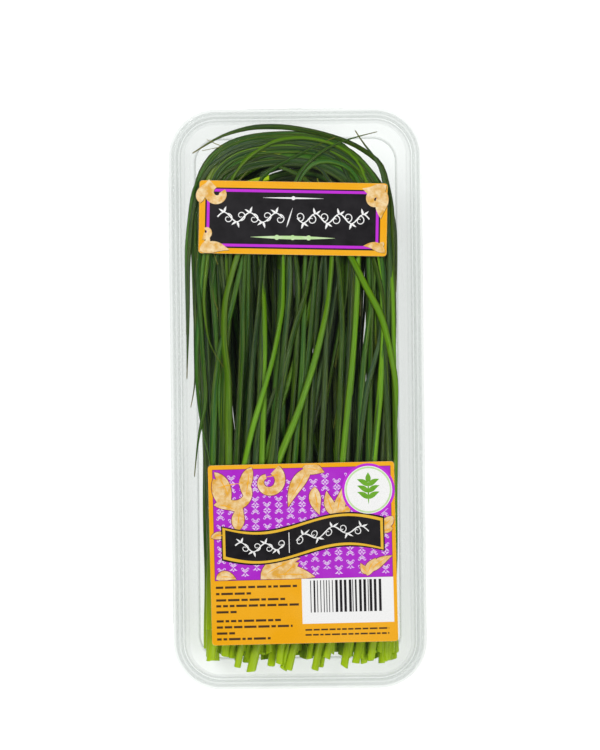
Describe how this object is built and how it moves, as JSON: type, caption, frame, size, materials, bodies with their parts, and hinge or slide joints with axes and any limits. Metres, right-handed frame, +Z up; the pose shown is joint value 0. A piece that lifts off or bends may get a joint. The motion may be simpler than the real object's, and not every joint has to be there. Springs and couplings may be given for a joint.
{
  "type": "chive bunch",
  "caption": "Bunch of cut chives folded over once inside a clear hinged herb pack with a hang tab and two plain stickers",
  "frame": {"origin": "middle of the underside of the tray's floor", "axes": "+Y along the pack to the hang tab, +Z up from the tray's floor to the lid, +X to the right seen from above, so the hinge is at -X"},
  "size_m": [0.0968, 0.2388, 0.028],
  "materials": {
    "film": "gloss",
    "sticker": "satin",
    "leaf_deep": "satin",
    "leaf_green": "satin",
    "leaf_lime": "satin"
  },
  "bodies": {
    "base": {"base_tray": "film", "hinge_fold": "film", "chive_leaf_01": "leaf_deep", "chive_leaf_02": "leaf_green", "chive_leaf_03": "leaf_deep", "chive_leaf_04": "leaf_green", "chive_leaf_05": "leaf_deep", "chive_leaf_06": "leaf_lime", "chive_leaf_07": "leaf_green", "chive_leaf_08": "leaf_deep", "chive_leaf_09": "leaf_deep", "chive_leaf_10": "leaf_green", "chive_leaf_11": "leaf_deep", "chive_leaf_12": "leaf_green", "chive_leaf_13": "leaf_deep", "chive_leaf_14": "leaf_lime", "chive_leaf_15": "leaf_green", "chive_leaf_16": "leaf_deep", "chive_leaf_17": "leaf_deep", "chive_leaf_18": "leaf_green", "chive_leaf_19": "leaf_deep", "chive_leaf_20": "leaf_green", "chive_leaf_21": "leaf_deep", "chive_leaf_22": "leaf_lime", "chive_leaf_23": "leaf_green", "chive_leaf_24": "leaf_deep", "chive_leaf_25": "leaf_deep", "chive_leaf_26": "leaf_green", "chive_leaf_27": "leaf_deep", "chive_leaf_28": "leaf_green", "chive_leaf_29": "leaf_deep", "chive_leaf_30": "leaf_lime", "chive_leaf_31": "leaf_green", "chive_leaf_32": "leaf_deep", "chive_leaf_33": "leaf_deep", "chive_leaf_34": "leaf_green", "chive_leaf_35": "leaf_deep", "chive_leaf_36": "leaf_green", "chive_leaf_37": "leaf_deep", "chive_leaf_38": "leaf_lime", "chive_leaf_39": "leaf_green", "chive_leaf_40": "leaf_deep", "chive_leaf_41": "leaf_deep", "chive_leaf_42": "leaf_green", "chive_leaf_43": "leaf_deep", "chive_leaf_44": "leaf_green", "chive_leaf_45": "leaf_deep", "chive_leaf_46": "leaf_lime", "chive_leaf_47": "leaf_green", "chive_leaf_48": "leaf_deep"},
    "lid": {"lid": "film", "upper_sticker": "sticker", "lower_sticker": "sticker"}
  },
  "joints": [
    {"name": "lid_hinge", "type": "hinge", "parent": "base", "child": "lid", "pos_m": [-0.0486, 0, 0.02215], "axis": [0, -1, 0], "range_deg": [0, 180]}
  ]
}
